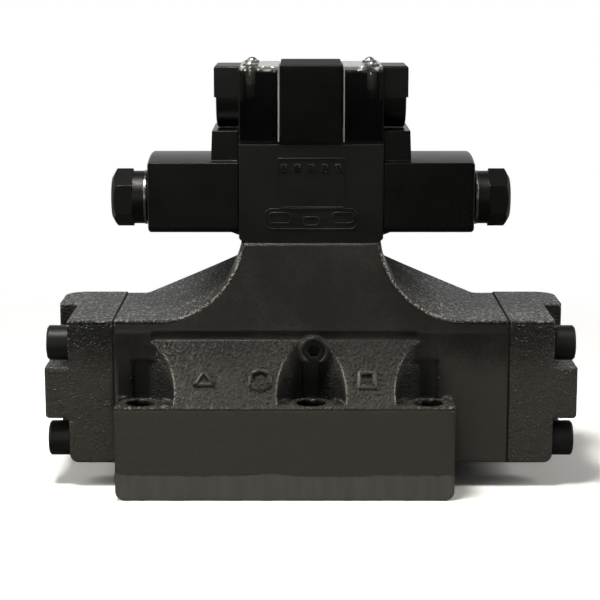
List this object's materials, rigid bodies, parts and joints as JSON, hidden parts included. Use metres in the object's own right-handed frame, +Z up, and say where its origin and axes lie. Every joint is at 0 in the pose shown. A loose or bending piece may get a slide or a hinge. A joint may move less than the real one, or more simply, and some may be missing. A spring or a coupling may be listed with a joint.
{
  "type": "pilot operated directional valve",
  "caption": "Large solenoid piloted directional spool valve: black cast body with flange, end covers, double solenoid pilot valve and terminal box on top.",
  "frame": {"origin": "on the mounting face, below the middle of the spool bore", "axes": "+Z up from the mounting face, +X along both spools to the right hand end cover, -Y towards the viewer of the picture"},
  "size_m": [0.2428, 0.118, 0.1945],
  "materials": {
    "black_iron": "black coated cast iron, fine sand texture",
    "pilot_iron": "black coated cast iron, smooth milled faces",
    "black_screw": "blackened steel, satin",
    "plated_screw": "zinc plated steel",
    "bright_screw": "bright nickel plated steel",
    "ground_steel": "ground steel",
    "spring_steel": "oiled spring wire",
    "coil_plastic": "black moulding compound",
    "nut_plastic": "black moulded plastic",
    "box_plastic": "black moulded plastic",
    "cap_plastic": "black moulded plastic, polished",
    "block_plastic": "dark grey moulded plastic",
    "clamp_brass": "nickel washed brass",
    "lamp_plastic": "red lamp lens",
    "clear_window": "clear moulded plastic",
    "black_rubber": "black nitrile rubber"
  },
  "bodies": {
    "valve": {"box_gasket": "black_rubber", "box_screws": "plated_screw", "front_plug": "black_screw", "lamps": "lamp_plastic", "left_coil": "coil_plastic", "left_coil_nut": "nut_plastic", "left_coil_washer": "ground_steel", "left_core_tube": "ground_steel", "left_cover_screws": "black_screw", "left_cover_seals": "black_rubber", "left_end_cover": "black_iron", "left_main_spring": "spring_steel", "left_nut_seal": "black_rubber", "left_pilot_spring": "spring_steel", "left_tube_seal": "black_rubber", "left_window": "clear_window", "main_body": "black_iron", "middle_cap": "cap_plastic", "pilot_body": "pilot_iron", "pilot_line_seals": "black_rubber", "pilot_port_seals": "black_rubber", "pilot_screws": "black_screw", "port_seals": "black_rubber", "right_coil": "coil_plastic", "right_coil_nut": "nut_plastic", "right_coil_washer": "ground_steel", "right_core_tube": "ground_steel", "right_cover_screws": "black_screw", "right_cover_seals": "black_rubber", "right_end_cover": "black_iron", "right_main_spring": "spring_steel", "right_nut_seal": "black_rubber", "right_pilot_spring": "spring_steel", "right_tube_seal": "black_rubber", "right_window": "clear_window", "terminal_block": "block_plastic", "terminal_box": "box_plastic", "terminal_clamps": "clamp_brass", "window_screws": "bright_screw"},
    "main_spool_set": {"main_spool": "ground_steel", "left_spring_collar": "ground_steel", "right_spring_collar": "ground_steel"},
    "pilot_spool_set": {"pilot_spool": "ground_steel", "left_spring_plate": "ground_steel", "right_spring_plate": "ground_steel", "left_push_pin": "ground_steel", "right_push_pin": "ground_steel", "left_armature": "ground_steel", "right_armature": "ground_steel"},
    "left_override": {"left_override_pin": "ground_steel"},
    "right_override": {"right_override_pin": "ground_steel"}
  },
  "joints": [
    {"name": "main_spool_slide", "type": "slide", "parent": "valve", "child": "main_spool_set", "axis": [1, 0, 0], "range_m": [-0.01, 0.01], "stiffness_N_per_m": 6000, "deforming": ["left_main_spring", "right_main_spring"]},
    {"name": "pilot_spool_slide", "type": "slide", "parent": "valve", "child": "pilot_spool_set", "axis": [1, 0, 0], "range_m": [-0.0028, 0.0028], "stiffness_N_per_m": 3000, "deforming": ["left_pilot_spring", "right_pilot_spring"]},
    {"name": "left_override_push", "type": "slide", "parent": "valve", "child": "left_override", "axis": [1, 0, 0], "range_m": [0, 0.003], "stiffness_N_per_m": 800},
    {"name": "right_override_push", "type": "slide", "parent": "valve", "child": "right_override", "axis": [-1, 0, 0], "range_m": [0, 0.003], "stiffness_N_per_m": 800}
  ]
}
